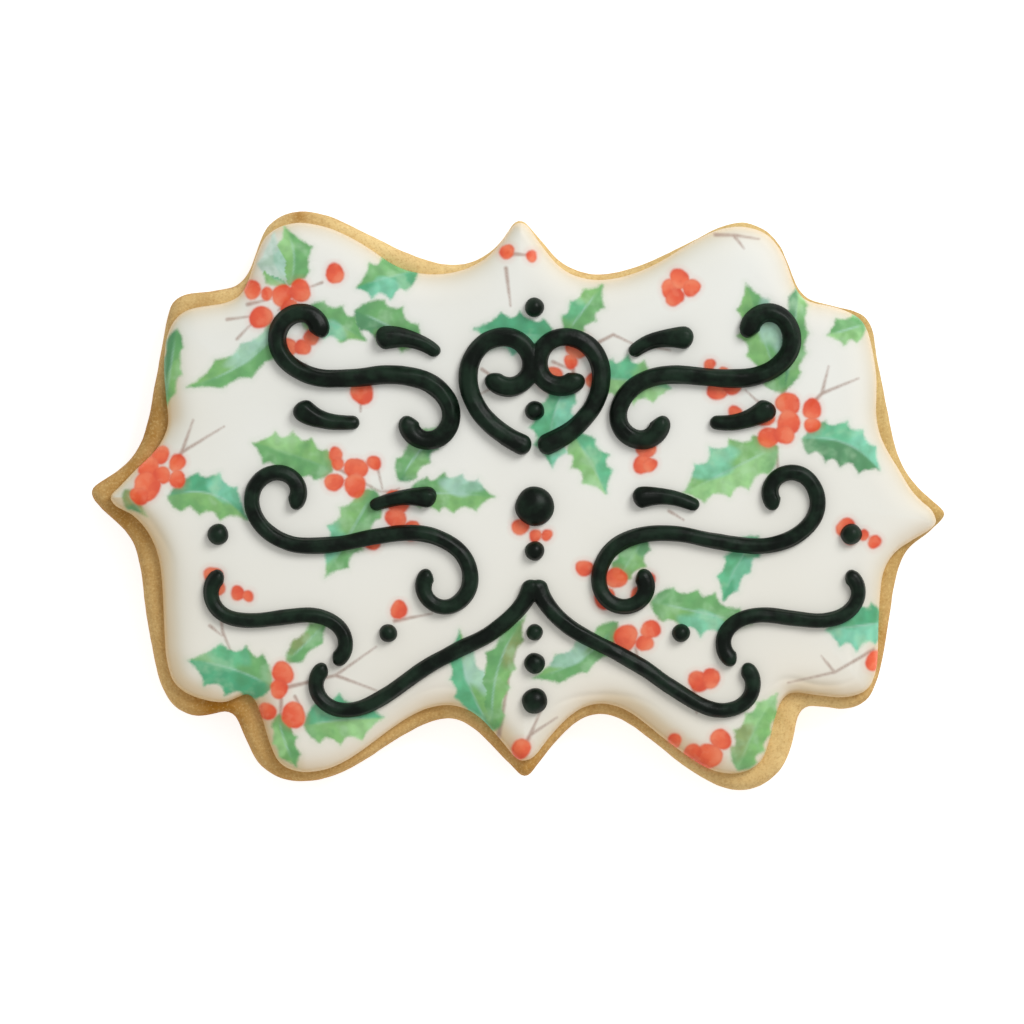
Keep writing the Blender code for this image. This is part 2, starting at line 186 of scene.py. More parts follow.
# A twig is a line of points with its width.
TWIGS = (
    (((-38.6, 24.0), (-35.6, 24.4)), 0.22), (((-35.9, 26.0), (-32.8, 26.7)), 0.28),
    (((-37.3, 21.4), (-35.4, 23.4)), 0.20), (((-30.4, 27.0), (-31.8, 25.2)), 0.40),
    (((-28.2, 18.0), (-28.8, 16.4)), 0.22), (((-26.0, 28.9), (-27.6, 28.3)), 0.20),
    (((-46.0, 4.4), (-44.6, 6.4), (-43.1, 10.7)), 0.34), (((-44.6, 6.4), (-39.0, 9.8)), 0.26),
    (((-20.8, 14.6), (-20.9, 11.8)), 0.34), (((-24.6, 4.6), (-18.4, 1.2), (-16.0, 1.2)), 0.28),
    (((-18.8, 5.0), (-18.0, 1.6)), 0.20), (((-17.6, 0.4), (-15.8, 1.6)), 0.44),
    (((-39.6, -13.6), (-39.2, -17.4), (-38.0, -20.2)), 0.30), (((-40.9, -16.6), (-39.2, -18.0)), 0.20),
    (((-30.6, -24.8), (-24.2, -23.2), (-18.8, -19.4)), 0.30), (((-24.2, -23.2), (-18.8, -25.2)), 0.24),
    (((-31.4, -26.4), (-31.6, -30.0)), 0.30), (((-29.6, -26.0), (-28.0, -29.0)), 0.22),
    (((-2.6, -31.4), (-1.2, -23.0), (0.6, -16.0)), 0.36), (((-16.4, -16.0), (-11.4, -15.0)), 0.26),
    (((1.0, -32.4), (3.0, -28.0)), 0.32), (((1.8, -31.0), (5.2, -28.8)), 0.22),
    (((15.6, -19.6), (16.0, -22.0)), 0.20), (((23.3, -24.8), (23.7, -28.2)), 0.34),
    (((47.2, -19.8), (42.0, -22.8), (35.8, -24.2)), 0.24), (((42.0, -22.8), (40.2, -20.6)), 0.20),
    (((38.8, 12.6), (40.3, 14.2), (41.2, 17.8)), 0.34), (((40.3, 14.2), (45.2, 16.2)), 0.26),
    (((34.2, 7.0), (34.6, 3.0), (34.3, -0.6)), 0.26), (((35.2, 13.6), (35.3, 25.4)), 0.50),
    (((26.2, 35.3), (28.8, 35.2), (32.0, 34.7)), 0.30), (((28.6, 35.2), (30.0, 33.4)), 0.24),
    (((32.8, 12.2), (30.2, 14.6)), 0.20), (((9.0, 20.0), (12.6, 22.0), (15.2, 20.8)), 0.34),
    (((17.0, 20.6), (20.2, 19.9)), 0.24), (((-4.8, 17.4), (-2.2, 15.6), (-5.2, 14.0)), 0.24),
    (((-1.6, 30.8), (-1.0, 25.8)), 0.30), (((-1.6, 32.8), (1.8, 32.5)), 0.40),
    (((7.0, 19.0), (7.6, 15.4), (6.6, 11.0)), 0.34), (((4.6, 18.4), (7.4, 17.2)), 0.24),
    (((20.0, -1.4), (22.0, -2.6)), 0.2),
)
TWIG_COLOUR = srgb(168, 138, 124)

# Where the biscuit is browner or paler than its middle: (x, y, reach, how much)
BROWNING = (
    (-50.0, 10.0, 9.0, 0.90), (-53.0, -3.0, 7.0, 0.75), (-47.0, -17.0, 9.0, 0.40),
    (-40.0, -27.5, 5.0, 1.15), (-29.0, -38.0, 8.0, 0.65), (-12.0, -30.0, 8.0, 0.45),
    (0.5, -36.0, 6.0, 0.70), (12.0, -28.0, 6.0, 0.35), (35.0, -35.0, 9.0, -0.30),
    (40.0, -27.0, 4.0, -0.25), (50.0, -18.0, 7.0, 0.65), (54.0, -4.0, 7.0, 1.00),
    (49.0, 11.0, 8.0, 0.50), (45.0, 25.0, 7.0, 1.05), (36.0, 33.0, 6.0, 0.80),
    (24.0, 36.0, 7.0, 0.40), (11.0, 31.0, 6.0, 0.25),
    (-44.0, 27.0, 7.0, 0.30), (-29.0, 38.0, 4.5, 0.45), (-20.0, 35.0, 7.0, -0.15),
)
BROWN_SPOT = (-29.0, 37.9, 1.1)  # one small dark patch at the upper left

# Where the icing stops short of its CAD edge: (x, y, reach, how far)
PULLED_IN = (
    (47.5, 16.0, 11.0, 0.28),
    (52.0, -4.0, 7.0, 0.15),
    (48.0, -17.0, 8.0, 0.15),
)

# Shallow creases along the icing's edge: (x, y, reach, depth in from the edge, how deep)
CREASES = (
    (38.0, -24.0, 8.0, 2.2, 0.16),
    (9.0, -27.0, 8.0, 1.9, 0.14),
    (-14.0, -27.0, 7.0, 2.2, 0.12),
    (-51.0, -6.0, 7.0, 1.9, 0.10),
    (46.0, -18.0, 8.0, 3.2, 0.08),
)

# ---------------------------------------------------------------- the piping

MIRROR_LINE = 2.2
HEART = (0.5, 6.9, 22, 0.0, 35, (2.5, 2.5), (2, 5, 9, 14, 18, 23))
LEG = (0.2, -10.5, -80, 0.0, 40, (2.2, 2.0), (8, 4, 0, -2, 3, 14, 25))
PAIRS = {
    "scroll_upper": (22.6, 16.4, -6, 0.5, 48, (2.5, 2.4), (-26, -17, -7, 0, 7, 17, 26)),
    "scroll_middle": (23.0, -5.2, -12, 0.5, 60, (2.1, 2.1), (-26, -15, -6, 0, 6, 15, 26)),
    "scroll_lower": (34.0, -15.6, -8, 0.5, 28, (2.0, 2.0), (-27, -15, -3, 3, 15, 27)),
    "drop_upper": (16.6, 21.4, 12, 0.5, 9, (1.5, 2.9), (-9, -3)),
    "drop_outer": (27.7, 10.6, 14, 0.5, 9, (1.5, 2.9), (3, 9)),
    "drop_middle": (17.5, 0.4, -8, 0.5, 9, (2.7, 1.4), (-6, -2)),
}
PIPING_TUCK = math.radians(18)  # how far a line's sides curl in below its middle
DOT_TUCK = math.radians(8)
TIPS = (0.02, 0.06, 0.14, 0.24, 0.38, 0.55)  # extra sections at a line's end, over its radius
TIP_REACH = 0.75  # where the even sections start, over the radius
LINE_STEP = 0.25
LINE_AROUND = 24
JOINED_MESH = 0.13
SEED_STEP = 3.7  # so that each line and dot is uneven in its own way
DOT_NODES = [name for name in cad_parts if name.startswith("dot_")]


# ---------------------------------------------------------------- shapes

def cad_ring(node, height):
    """The closed ring of a CAD solid's corners at one height, in order, anticlockwise."""
    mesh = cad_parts[node].data
    places = [tuple(np.round(np.array(v.co) / MM, 3)) for v in mesh.vertices]
    linked = {}
    for edge in mesh.edges:
        a, b = (places[i] for i in edge.vertices)
        if a != b and abs(a[2] - height) < 0.004 and abs(b[2] - height) < 0.004:
            linked.setdefault(a, set()).add(b)
            linked.setdefault(b, set()).add(a)
    start = max(linked)
    ring = [start, sorted(linked[start], key=lambda p: p[1])[-1]]
    while True:
        ahead = [p for p in linked[ring[-1]] if p != ring[-2]]
        if ahead[0] == start:
            break
        ring.append(ahead[0])
    return np.array(ring)[:, :2]


def smooth_closed(points, spacing):
    """Evenly spaced points on the smooth closed curve through the given ones."""
    before = np.roll(points, 1, axis=0)
    after = np.roll(points, -1, axis=0)
    beyond = np.roll(points, -2, axis=0)
    fine = []
    for p0, p1, p2, p3 in zip(before, points, after, beyond):
        knots = np.cumsum([0] + [np.linalg.norm(b - a) ** 0.5 for a, b in ((p0, p1), (p1, p2), (p2, p3))])
        t0, t1, t2, t3 = knots
        for t in np.linspace(t1, t2, 12, endpoint=False):
            a1 = (t1 - t) / (t1 - t0) * p0 + (t - t0) / (t1 - t0) * p1
            a2 = (t2 - t) / (t2 - t1) * p1 + (t - t1) / (t2 - t1) * p2
            a3 = (t3 - t) / (t3 - t2) * p2 + (t - t2) / (t3 - t2) * p3
            b1 = (t2 - t) / (t2 - t0) * a1 + (t - t0) / (t2 - t0) * a2
            b2 = (t3 - t) / (t3 - t1) * a2 + (t - t1) / (t3 - t1) * a3
            fine.append((t2 - t) / (t2 - t1) * b1 + (t - t1) / (t2 - t1) * b2)
    fine = np.array(fine)
    closed = np.vstack((fine, fine[:1]))
    travelled = np.concatenate(([0], np.cumsum(np.linalg.norm(np.diff(closed, axis=0), axis=1))))
    count = round(travelled[-1] / spacing)
    wanted = np.arange(count) * travelled[-1] / count
    return np.stack([np.interp(wanted, travelled, closed[:, axis]) for axis in (0, 1)], axis=1)


def inward(outline):
    """Unit vectors pointing into the anticlockwise outline at each of its points."""
    along = np.roll(outline, -1, axis=0) - np.roll(outline, 1, axis=0)
    along /= np.linalg.norm(along, axis=1)[:, None]
    return np.stack((-along[:, 1], along[:, 0]), axis=1)


def inset(outline, distance):
    return outline + distance * inward(outline)


def with_height(plan, height):
    """Points in space from points in plan and their heights."""
    return np.hstack((plan, height[:, None]))


def pulled_in(outline):
    """The icing's outline, moved in a little where PULLED_IN says."""
    moved = np.zeros((len(outline), 1))
    for x, y, reach, far in PULLED_IN:
        away = np.linalg.norm(outline - (x, y), axis=1) / reach
        moved[:, 0] += far * np.exp(-away ** 2)
    return inset(outline, moved)


class Outline:
    """A closed outline through a CAD solid's ring of corners."""

    def __init__(self, ring, spacing):
        self.points = smooth_closed(ring, spacing)
        self.near = smooth_closed(ring, 0.05)
        self.into = inward(self.near)
        self.tree = KDTree(len(self.near))
        for index, (x, y) in enumerate(self.near):
            self.tree.insert((x, y, 0), index)
        self.tree.balance()

    def nearest(self, points):
        """The nearest outline point to each point, by its number in self.near."""
        return np.array([self.tree.find((x, y, 0))[1] for x, y in points.tolist()])

    def depth(self, points):
        """How far in from the outline each point is; less than 0 is outside."""
        index = self.nearest(points)
        offset = points - self.near[index]
        straight = (offset * self.into[index]).sum(1)
        distance = np.linalg.norm(offset, axis=1)
        return np.where(distance < 0.2, straight, np.copysign(distance, straight))

    def fill(self, spacing, margin):
        """Lattice points more than a margin in from the outline, with their depths."""
        points = lattice(self.points.min(0), self.points.max(0), spacing)
        depth = self.depth(points)
        return points[depth > margin], depth[depth > margin]


def edge_distance(points, outline):
    """Distance of each point to a closed polygon."""
    side = np.roll(outline, -1, axis=0) - outline
    square = (side ** 2).sum(1)
    offset = points[:, None] - outline[None]
    along = np.clip((offset * side).sum(2) / square, 0, 1)
    gap = offset - along[:, :, None] * side
    return np.sqrt((gap ** 2).sum(2).min(axis=1))


def pooled_distance(points, outline, exact, chunk=4000):
    """A distance to the outline with no creases along the middle of narrow places.

    It is the inverse fourth power of the distance, summed round the outline.
    """
    side = np.linalg.norm(np.roll(outline, -1, axis=0) - outline, axis=1)
    middle = (np.roll(outline, -1, axis=0) + outline) / 2
    result = np.empty(len(points))
    for i in range(0, len(points), chunk):
        square = ((points[i:i + chunk, None] - middle[None]) ** 2).sum(2)
        result[i:i + chunk] = (side / np.maximum(square, 1e-6) ** 2).sum(1)
    pooled = (result * 2 / math.pi) ** (-1 / 3)
    near = np.clip((exact - 0.9) / 0.9, 0, 1)
    return exact * (1 - near) + pooled * near


def inside(points, polygon):
    """Whether each point is inside the closed polygon."""
    x, y = points[:, 0:1], points[:, 1:2]
    ax, ay = polygon[:, 0], polygon[:, 1]
    bx, by = np.roll(ax, -1), np.roll(ay, -1)
    crosses = (ay > y) != (by > y)
    with np.errstate(divide="ignore", invalid="ignore"):
        where = (bx - ax) * (y - ay) / (by - ay) + ax
    return (np.where(crosses, x < where, False).sum(1) % 2).astype(bool)


def lattice(low, high, spacing):
    """Points of a triangular lattice over a box."""
    rows = np.arange(low[1], high[1], spacing * math.sqrt(0.75))
    columns = np.arange(low[0], high[0], spacing)
    grid_x, grid_y = np.meshgrid(columns, rows)
    grid_x = grid_x + (np.arange(len(rows)) % 2)[:, None] * spacing / 2
    return np.stack((grid_x.ravel(), grid_y.ravel()), axis=1)


def smoothstep(value, low, high):
    t = np.clip((value - low) / (high - low), 0, 1)
    return t * t * (3 - 2 * t)


def fractal(points, scale, seed=0.0, octaves=2):
    """Smooth noise at each point, about -1 to 1, with features of the given size."""
    if points.shape[1] == 2:
        points = np.hstack((points, np.zeros((len(points), 1))))
    places = points / scale + seed
    return np.array([noise.fractal(Vector(p), 1.0, 2.0, octaves) for p in places])


def triangulate(outline, interior):
    """Triangles of the outline's inside through the interior points.

    The outline's points come first and keep their order.
    """
    count = len(outline)
    plan = np.concatenate((outline, interior))
    placed, _, triangles, sources, _, _ = delaunay_2d_cdt(
        [tuple(p) for p in plan], [], [list(range(count))], 1, 1e-7)
    number = [min(s) for s in sources]
    return plan, [tuple(number[i] for i in triangle) for triangle in triangles]


def make_piece(name, verts, faces, material):
    """A smooth shaded mesh object from points in millimetres."""
    mesh = bpy.data.meshes.new(name)
    mesh.from_pydata((np.asarray(verts) * MM).tolist(), [], faces)
    mesh.validate()
    mesh.shade_smooth()
    mesh.materials.append(material)
    piece = bpy.data.objects.new(name, mesh)
    bpy.context.collection.objects.link(piece)
    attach(piece, "root")
    return piece


def shell(bottom, rings, top):
    """Joins a bottom sheet, side rings and a top sheet into one closed skin.

    bottom and top are (points, triangles) whose first points are their outline; the rings
    lie between the two outlines.
    """
    count = len(rings[0])
    low_points, low_triangles = bottom
    high_points, high_triangles = top
    verts = [low_points]
    faces = [tuple(reversed(t)) for t in low_triangles]
    starts = [0]
    offset = len(low_points)
    for ring in rings:
        starts.append(offset)
        verts.append(ring)
        offset += count
    starts.append(offset)
    verts.append(high_points)
    faces += [tuple(i + offset for i in t) for t in high_triangles]
    for a, b in zip(starts, starts[1:]):
        for i in range(count):
            j = (i + 1) % count
            faces.append((a + i, a + j, b + j, b + i))
    return np.concatenate(verts), faces


# ---------------------------------------------------------------- node helpers

class Shader:
    """Short names for building one material's nodes."""

    def __init__(self, name):
        self.material = bpy.data.materials.new(name)
        self.material.use_nodes = True
        self.nodes = self.material.node_tree.nodes
        self.links = self.material.node_tree.links
        self.surface = self.nodes["Principled BSDF"]

    def set(self, socket, value):
        if isinstance(value, bpy.types.NodeSocket):
            self.links.new(value, socket)
        else:
            socket.default_value = value

    def node(self, kind, **inputs):
        made = self.nodes.new(kind)
        for key, value in inputs.items():
            self.set(made.inputs[key], value)
        return made

    def attribute(self, name, output="Fac"):
        made = self.nodes.new("ShaderNodeAttribute")
        made.attribute_name = name
        return made.outputs[output]

    def position(self):
        return self.node("ShaderNodeTexCoord").outputs["Object"]

    def split(self, vector):
        return self.node("ShaderNodeSeparateXYZ", Vector=vector).outputs

    def noise(self, vector, scale, detail=2.0, roughness=0.5):
        return self.node("ShaderNodeTexNoise", Vector=vector, Scale=scale, Detail=detail,
                         Roughness=roughness).outputs["Fac"]

    def maths(self, operation, a, b=0.0, c=0.0):
        made = self.nodes.new("ShaderNodeMath")
        made.operation = operation
        for socket, value in zip(made.inputs, (a, b, c)):
            self.set(socket, value)
        return made.outputs[0]

    def ramp(self, value, low, high, out_low=0.0, out_high=1.0, smooth=True):
        made = self.nodes.new("ShaderNodeMapRange")
        made.interpolation_type = "SMOOTHSTEP" if smooth else "LINEAR"
        for socket, item in zip(made.inputs, (value, low, high, out_low, out_high)):
            self.set(socket, item)
        return made.outputs[0]

    def mix(self, factor, a, b):
        made = self.nodes.new("ShaderNodeMix")
        made.data_type = "RGBA"
        self.set(made.inputs[0], factor)
        for socket, value in ((made.inputs[6], a), (made.inputs[7], b)):
            if not isinstance(value, bpy.types.NodeSocket) and len(value) == 3:
                value = (*value, 1.0)
            self.set(socket, value)
        return made.outputs[2]

    def bump(self, height, distance, strength):
        made = self.nodes.new("ShaderNodeBump")
        self.set(made.inputs["Height"], height)
        made.inputs["Distance"].default_value = distance
        made.inputs["Strength"].default_value = strength
        return made.outputs[0]


def give_attribute(mesh, name, values, kind="FLOAT"):
    layer = mesh.attributes.new(name, kind, "POINT")
    field = "value" if kind == "FLOAT" else "color"
    layer.data.foreach_set(field, np.asarray(values, np.float32).ravel())


# ---------------------------------------------------------------- biscuit

BISCUIT_SEEN = 5.5  # how far in the biscuit's top is finely meshed
BISCUIT = Outline(cad_ring("biscuit", BISCUIT_WIDEST), 0.5)
ICING = Outline(pulled_in(cad_ring("icing", BISCUIT_TOP + GAP + 0.5)), 0.4)


def biscuit_height(depth):
    """Height of the biscuit's top at a depth in from its outline: flat, with a tight shoulder."""
    t = np.clip(depth / BISCUIT_SHOULDER, 0, 1)
    return BISCUIT_WIDEST + (BISCUIT_TOP - BISCUIT_WIDEST) * (1 - (1 - t) ** 3) ** (1 / 3)


def dough_material():
    s = Shader("baked dough")
    where = s.position()
    broad = s.noise(where, 60.0, 3.0)
    patch = s.noise(where, 260.0, 3.0, 0.6)
    grain = s.noise(where, 1300.0, 5.0, 0.7)
    sand = s.noise(where, 3200.0, 2.0, 0.6)

    across, along, up = s.split(where)
    towards_lamp = s.maths("ADD", s.maths("MULTIPLY", across, 0.8), s.maths("MULTIPLY", along, 0.6))
    baked = s.maths("ADD", s.attribute("baked"), s.ramp(broad, 0.3, 0.7, -0.12, 0.12))
    baked = s.maths("ADD", baked, s.ramp(patch, 0.3, 0.7, -0.15, 0.15))
    baked = s.maths("ADD", baked, s.ramp(up, 0.0069, 0.0046, 0.0, 0.30))
    baked = s.maths("ADD", baked, s.ramp(up, 0.0046, 0.0, 0.0, 0.30))
    colour = s.mix(s.ramp(baked, -0.1, 1.6, smooth=False), srgb(241, 214, 152), srgb(158, 104, 12))
    # Painted shade: a more saturated orange towards the bottom, away from the lamp.
    colour = s.mix(s.ramp(along, 0.02, -0.03, 0.0, 0.22), colour, srgb(206, 134, 14))
    # Painted light: paler and greener on the upper-right side, which faces the lamp.
    colour = s.mix(s.ramp(towards_lamp, 0.022, 0.044, 0.0, 0.28), colour, srgb(224, 208, 142))
    colour = s.mix(s.ramp(grain, 0.52, 0.72, 0.0, 0.30), colour, srgb(168, 114, 44))
    colour = s.mix(s.ramp(grain, 0.46, 0.28, 0.0, 0.22), colour, srgb(252, 226, 164))
    colour = s.mix(s.ramp(sand, 0.52, 0.70, 0.0, 0.30), colour, srgb(164, 112, 40))
    colour = s.mix(s.ramp(sand, 0.48, 0.30, 0.0, 0.25), colour, srgb(252, 224, 156))
    s.set(s.surface.inputs["Base Color"], colour)
    s.surface.inputs["Roughness"].default_value = 0.8
    s.surface.inputs["Specular IOR Level"].default_value = 0.2
    relief = s.maths("ADD", s.maths("MULTIPLY", grain, 0.8), patch)
    relief = s.maths("ADD", relief, s.maths("MULTIPLY", sand, 0.25))
    s.set(s.surface.inputs["Normal"], s.bump(relief, 0.00020, 0.6))
    return s.material


def browning(points):
    """How brown the biscuit is at each point: 0 pale, 1 golden brown."""
    def nearness(x, y, reach):
        return np.exp(-((points[:, 0] - x) ** 2 + (points[:, 1] - y) ** 2) / reach ** 2)

    amount = np.full(len(points), 0.32)
    for x, y, reach, more in BROWNING:
        amount += more * nearness(x, y, reach)
    amount += 0.6 * nearness(*BROWN_SPOT) * smoothstep(points[:, 2], 5.2, 6.4)
    return amount + 0.35 * (1 - smoothstep(points[:, 2], 0.0, 1.6))


def crumb(points):
    """How deep the baked surface's unevenness is at each point: soft hollows and fine grain."""
    return 0.07 * (1 + fractal(points, 5.0, 1.7)) + 0.03 * (1 + fractal(points, 1.3, 8.2))


def build_biscuit():
    edge = BISCUIT.points
    low = BISCUIT.fill(1.6, 1.4)[0]
    high, depth = BISCUIT.fill(0.45, 0.3)
    high = high[depth < BISCUIT_SEEN]
    high = np.concatenate((high, BISCUIT.fill(2.4, BISCUIT_SEEN + 0.5)[0]))

    foot = inset(edge, BISCUIT_FOOT)
    low_plan, low_faces = triangulate(foot, low)
    low_points = with_height(low_plan, np.zeros(len(low_plan)))
    rings = []
    for t in (0.12, 0.3, 0.5, 0.7, 0.86, 1.0):
        angle = t * math.pi / 2
        rings.append((BISCUIT_FOOT * (1 - math.sin(angle)),
                      BISCUIT_FOOT_HEIGHT * (1 - math.cos(angle))))
    rings += [(0.0, z) for z in (2.1, 2.7, 3.3, 3.9)]
    rings = [with_height(inset(edge, d), np.full(len(edge), z)) for d, z in rings]
    into = inward(edge)
    for ring in rings:
        sunk = crumb(ring) * smoothstep(ring[:, 2], 0.0, 1.0)
        ring[:, :2] += into * sunk[:, None]
    high_plan, high_faces = triangulate(edge, high)
    depth = np.maximum(BISCUIT.depth(high_plan), 0)
    high_points = with_height(high_plan, biscuit_height(depth))
    sunk = crumb(high_points)
    high_points[:len(edge), :2] += into * sunk[:len(edge), None]
    high_points[len(edge):, 2] -= sunk[len(edge):]
    verts, faces = shell((low_points, low_faces), rings, (high_points, high_faces))

    piece = make_piece("biscuit_baked", verts, faces, dough_material())
    give_attribute(piece.data, "baked", browning(verts))
    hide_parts("biscuit")


# ---------------------------------------------------------------- icing and its print

def leaf_outline(leaf, rng):
    """A holly leaf: hollow arcs between spines, which lean towards the tip."""
    base, tip, width, spines, bend = leaf[:5]
    base, tip = np.array(base), np.array(tip)
    length = np.linalg.norm(tip - base)
    along = (tip - base) / length
    across = np.array((-along[1], along[0]))
    sides = []
    for side in (1, -1):
        knots = [(0.0, 0.0)]
        for i in range(spines):
            t = (i + 0.8 + rng.uniform(-0.15, 0.15) + 0.1 * side) / (spines + 0.75)
            body = math.sin(math.pi * t ** 0.9) ** 0.55
            knots.append((t, width / 2 * body * rng.uniform(0.9, 1.1)))
        knots.append((1.0, 0.0))
        outline = []
        for (t0, w0), (t1, w1) in zip(knots, knots[1:]):
            first, last = t0 == 0.0, t1 == 1.0
            control_t = t0 + (t1 - t0) * 0.3
            control_w = w1 * 0.75 if first else w0 * 0.36 if last else min(w0, w1) * 0.5
            for u in np.linspace(0, 1, 8, endpoint=False):
                t = (1 - u) ** 2 * t0 + 2 * u * (1 - u) * control_t + u * u * t1
                w = (1 - u) ** 2 * w0 + 2 * u * (1 - u) * control_w + u * u * w1
                outline.append((t, side * w))
        outline.append((1.0, 0.0))
        sides.append(np.array(outline))
    plan = np.concatenate((sides[0][:-1], sides[1][:0:-1]))
    middle = bend * length * 4 * plan[:, 0] * (1 - plan[:, 0])
    return base + np.outer(plan[:, 0] * length, along) + np.outer(plan[:, 1] + middle, across)


def leaf_place(leaf, points):
    """How far along a leaf each point is, 0 to 1, and how far to the left of its midrib."""
    base, tip, _, _, bend = leaf[:5]
    base, tip = np.array(base), np.array(tip)
    length = np.linalg.norm(tip - base)
    along = (tip - base) / length
    across = np.array((-along[1], along[0]))
    t = (points - base) @ along / length
    return t, (points - base) @ across - bend * length * 4 * t * (1 - t)


def leaf_colours(leaf, spots, rng):
    """A leaf's paint: two halves, a pool of a third colour, brush strokes and a pale midrib."""
    width, spines = leaf[2:4]
    left, right, pool = (np.array(GREENS[name]) for name in leaf[5:])
    t, v = leaf_place(leaf, spots)
    half = smoothstep(v + 0.1 * np.sin(9 * t), -0.2, 0.2)[:, None]
    paint = right * (1 - half) + left * half
    pool_t, pool_v = rng.uniform(0.3, 0.75), rng.choice((-0.28, 0.28)) * width
    spread = ((t - pool_t) / 0.26) ** 2 + ((v - pool_v) / (0.34 * width)) ** 2
    pooled = smoothstep(1.25 - spread + 0.25 * np.sin(14 * t + 2 * v), 0.0, 0.8)[:, None] * 0.85
    paint = paint * (1 - pooled) + pool * pooled
    stroke = np.sin(2 * math.pi * (t * (spines + 1.5) - 0.9 * np.abs(v) / width) + rng.uniform(0, 6))
    paint = paint * (1 + 0.09 * stroke * smoothstep(np.abs(v), 0.2, 1.0))[:, None]
    dark = ((1 - smoothstep(t, 0.0, 0.3)) * 0.45)[:, None]
    paint = paint * (1 - dark) + np.array(GREENS["forest"]) * dark
    rib = np.exp(-(v / 0.15) ** 2) * smoothstep(t, 0.1, 0.25) * (1 - smoothstep(t, 0.6, 0.9))
    rib = (rib * rng.uniform(0.1, 0.7))[:, None]
    return paint * (1 - rib) + np.array(GREENS["pale"]) * rib


def near_box(points, low, high, margin):
    return np.all((points > low - margin) & (points < high + margin), axis=1)


FAR = -2.0  # signed distance given to what is far from a shape


def print_layers(points):
    """Signed distances, positive inside, and paints of the leaves, berries and twigs."""
    rng = np.random.default_rng(7)
    leaf_edge = np.full(len(points), FAR)
    leaf_paint = np.tile(GREENS["leaf"], (len(points), 1))
    for leaf in LEAVES:
        outline = leaf_outline(leaf, rng)
        chosen = np.flatnonzero(near_box(points, outline.min(0), outline.max(0), 1.5))
        spots = points[chosen]
        signed = edge_distance(spots, outline)
        signed = np.where(inside(spots, outline), signed, -signed)
        better = signed > leaf_edge[chosen]
        leaf_edge[chosen[better]] = signed[better]
        leaf_paint[chosen[better]] = leaf_colours(leaf, spots[better], rng)

    berry_edge = np.full(len(points), FAR)
    berry_paint = np.tile(srgb(238, 94, 58), (len(points), 1))
    for x, y, radius in BERRIES:
        centre, radius = np.array((x, y)), 0.94 * radius
        chosen = np.flatnonzero(near_box(points, centre - radius, centre + radius, 1.0))
        offset = points[chosen] - centre
        distance = np.linalg.norm(offset, axis=1)
        angle = np.arctan2(offset[:, 1], offset[:, 0])
        phase = rng.uniform(0, 6.3, 2)
        reach = radius * (1 + 0.07 * np.sin(2 * angle + phase[0]) + 0.04 * np.sin(3 * angle + phase[1]))
        signed = reach - distance
        turn = rng.uniform(0, 6.3)
        shade = offset @ np.array((math.cos(turn), math.sin(turn))) / radius
        tone = rng.uniform(0, 1)
        base = np.array(srgb(247, 110, 66)) * (1 - tone) + np.array(srgb(239, 86, 44)) * tone
        lift = smoothstep(shade, 0.0, 1.0)[:, None] * 0.6
        paint = base * (1 - lift) + np.array(srgb(251, 148, 106)) * lift
        sink = smoothstep(-shade, -0.1, 0.9)[:, None] * 0.65
        paint = paint * (1 - sink) + np.array(srgb(226, 66, 30)) * sink
        rim = (1 - smoothstep(signed, 0.0, 0.4))[:, None] * 0.4
        paint = paint * (1 - rim) + np.array(srgb(216, 72, 42)) * rim
        cover = smoothstep(signed, -0.15, 0.2)[:, None]
        outside = berry_edge[chosen] < -0.1
        mixed = berry_paint[chosen] * (1 - cover) + paint * cover
        mixed[outside] = paint[outside]
        better = signed > np.minimum(berry_edge[chosen], 0.0)
        berry_paint[chosen[better]] = mixed[better]
        berry_edge[chosen] = np.maximum(berry_edge[chosen], signed)

    twig_edge = np.full(len(points), FAR)
    for line, width in TWIGS:
        line = np.array(line)
        chosen = np.flatnonzero(near_box(points, line.min(0), line.max(0), 1.0))
        spots = points[chosen]
        travelled = 0.0
        total = np.linalg.norm(np.diff(line, axis=0), axis=1).sum()
        for a, b in zip(line, line[1:]):
            side = b - a
            length = np.linalg.norm(side)
            t = np.clip((spots - a) @ side / length ** 2, 0, 1)
            distance = np.linalg.norm(spots - a - t[:, None] * side, axis=1)
            taper = 1 - 0.85 * (travelled + t * length) / total
            twig_edge[chosen] = np.maximum(twig_edge[chosen], 0.7 * width * taper - distance)
            travelled += length
    return leaf_edge, leaf_paint, berry_edge, berry_paint, twig_edge


